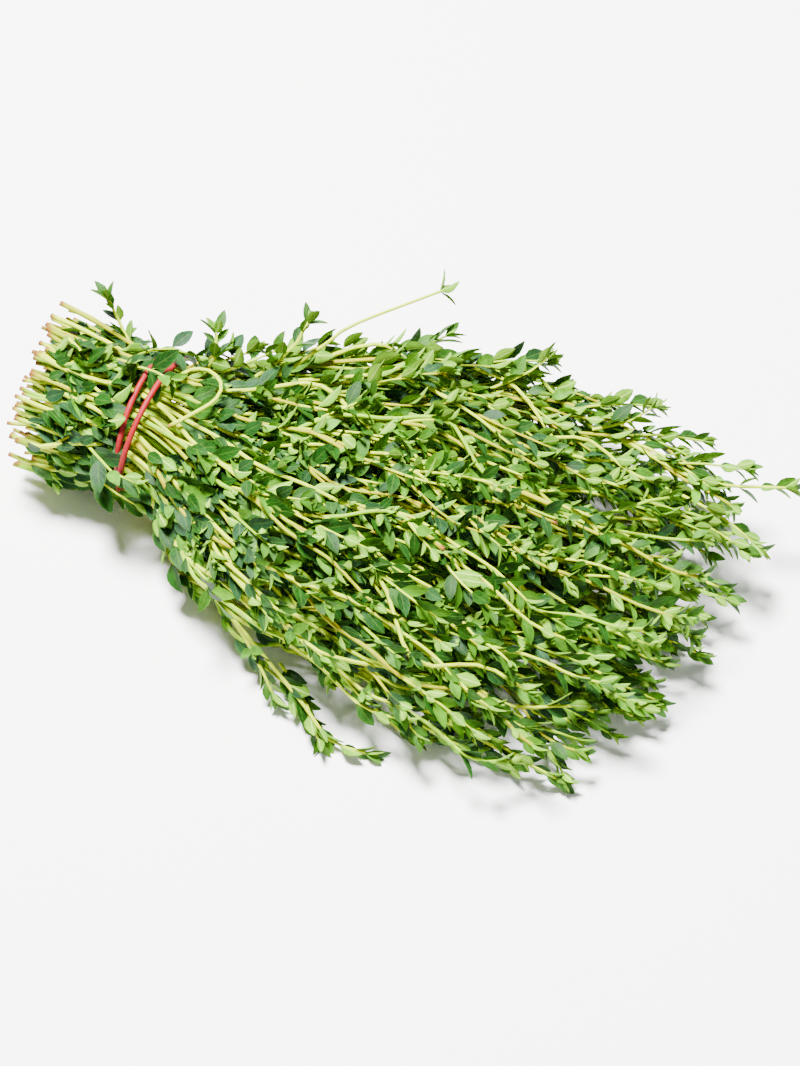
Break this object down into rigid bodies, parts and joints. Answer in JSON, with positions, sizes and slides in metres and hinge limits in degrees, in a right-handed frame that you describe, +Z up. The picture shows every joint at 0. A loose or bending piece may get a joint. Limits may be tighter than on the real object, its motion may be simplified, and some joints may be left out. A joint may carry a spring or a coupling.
{
  "type": "thyme bundle",
  "caption": "Tied bunch of fresh thyme lying on its side: leafy square-stemmed sprigs, cut ends at one side, held by a doubled rubber band and fanned out.",
  "frame": {"origin": "middle of the bunch's box, on the surface that it lies on", "axes": "+X along the bunch from the cut ends to the leafy tips, +Y across it, +Z up"},
  "size_m": [0.2094, 0.133, 0.0563],
  "materials": {
    "thyme": "matt to satin fresh leaf, pale green square stems",
    "rubber_band": "dull red rubber"
  },
  "bodies": {
    "root": {"sprig_heart": "thyme", "sprig_inner_01": "thyme", "sprig_inner_02": "thyme", "sprig_inner_03": "thyme", "sprig_inner_04": "thyme", "sprig_inner_05": "thyme", "sprig_inner_06": "thyme", "sprig_inner_07": "thyme", "sprig_middle_01": "thyme", "sprig_middle_02": "thyme", "sprig_middle_03": "thyme", "sprig_middle_04": "thyme", "sprig_middle_05": "thyme", "sprig_middle_06": "thyme", "sprig_middle_07": "thyme", "sprig_middle_08": "thyme", "sprig_middle_09": "thyme", "sprig_middle_10": "thyme", "sprig_middle_11": "thyme", "sprig_middle_12": "thyme", "sprig_middle_13": "thyme", "sprig_outer_01": "thyme", "sprig_outer_02": "thyme", "sprig_outer_03": "thyme", "sprig_outer_04": "thyme", "sprig_outer_05": "thyme", "sprig_outer_06": "thyme", "sprig_outer_07": "thyme", "sprig_outer_08": "thyme", "sprig_outer_09": "thyme", "sprig_outer_10": "thyme", "sprig_outer_11": "thyme", "sprig_outer_12": "thyme", "sprig_outer_13": "thyme", "sprig_outer_14": "thyme", "sprig_outer_15": "thyme", "sprig_outer_16": "thyme", "sprig_outer_17": "thyme", "sprig_outer_18": "thyme", "sprig_outer_19": "thyme", "sprig_outer_20": "thyme", "tie_band": "rubber_band"}
  },
  "joints": []
}
